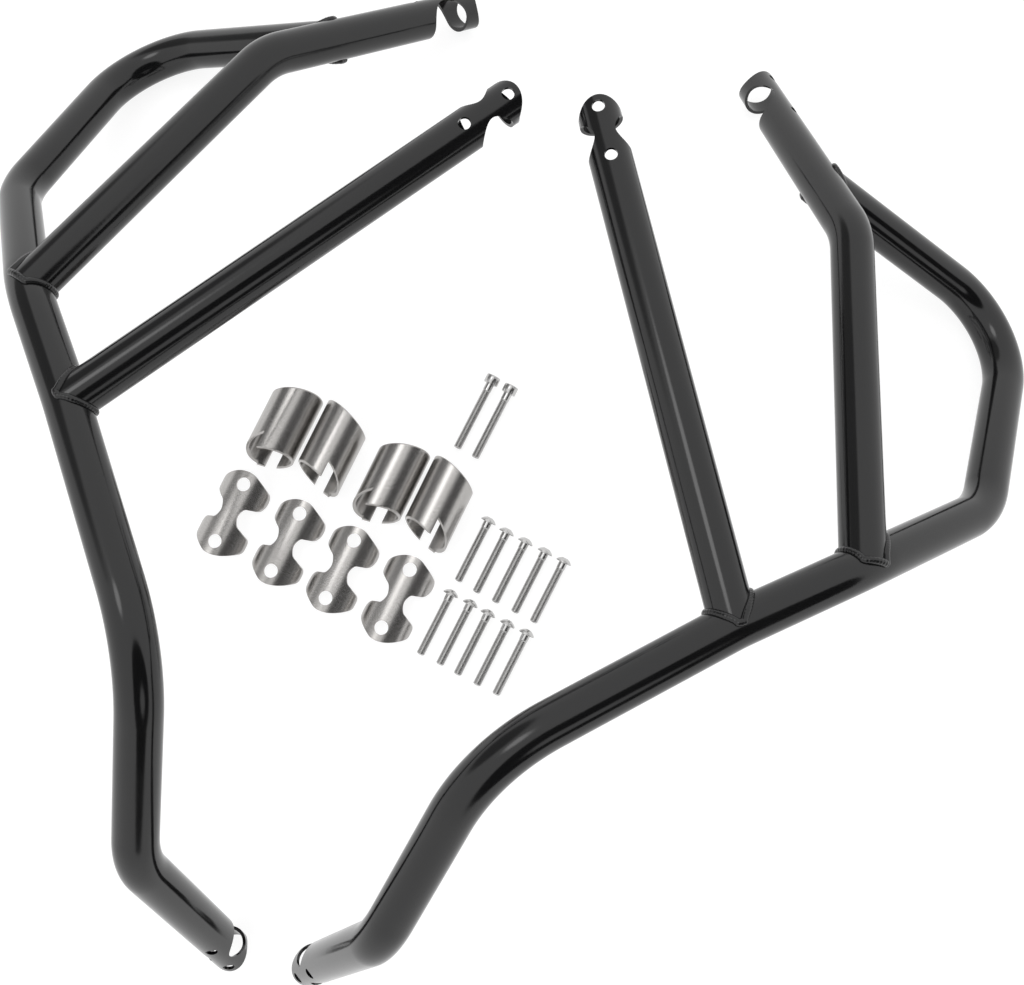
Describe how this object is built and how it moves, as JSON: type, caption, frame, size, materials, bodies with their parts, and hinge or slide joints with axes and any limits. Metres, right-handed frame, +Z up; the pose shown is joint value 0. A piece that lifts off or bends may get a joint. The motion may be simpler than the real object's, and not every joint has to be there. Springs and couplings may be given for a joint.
{
  "type": "motorcycle crash bars with fitting kit",
  "caption": "Pair of bent black tube crash bars with welded stays and notched clamp ends, laid out with split steel sleeves, cross plates and screws.",
  "frame": {"origin": "middle of the laid-out set's footprint, on the floor it lies on", "axes": "+Z up from the floor; +Y towards the bars' upper clamp tongues, away from their feet; +X towards the right bar"},
  "size_m": [0.6653, 0.6802, 0.2058],
  "materials": {
    "black_coat": "gloss black powder coat on steel tube",
    "bright_steel": "bright brushed stainless sheet",
    "screw_steel": "plain stainless screws"
  },
  "bodies": {
    "root": {"left_main_tube": "black_coat", "left_upper_stay": "black_coat", "left_lower_stay": "black_coat", "right_main_tube": "black_coat", "right_upper_stay": "black_coat", "right_lower_stay": "black_coat", "left_top_weld": "black_coat", "left_upper_weld": "black_coat", "left_lower_weld": "black_coat", "right_top_weld": "black_coat", "right_upper_weld": "black_coat", "right_lower_weld": "black_coat", "sleeve_1": "bright_steel", "sleeve_2": "bright_steel", "sleeve_3": "bright_steel", "sleeve_4": "bright_steel", "cross_plate_1": "bright_steel", "cross_plate_2": "bright_steel", "cross_plate_3": "bright_steel", "cross_plate_4": "bright_steel", "cap_screw_1": "screw_steel", "cap_screw_2": "screw_steel", "button_screw_1": "screw_steel", "button_screw_2": "screw_steel", "button_screw_3": "screw_steel", "button_screw_4": "screw_steel", "button_screw_5": "screw_steel", "button_screw_6": "screw_steel", "button_screw_7": "screw_steel", "button_screw_8": "screw_steel", "button_screw_9": "screw_steel", "button_screw_10": "screw_steel"}
  },
  "joints": []
}
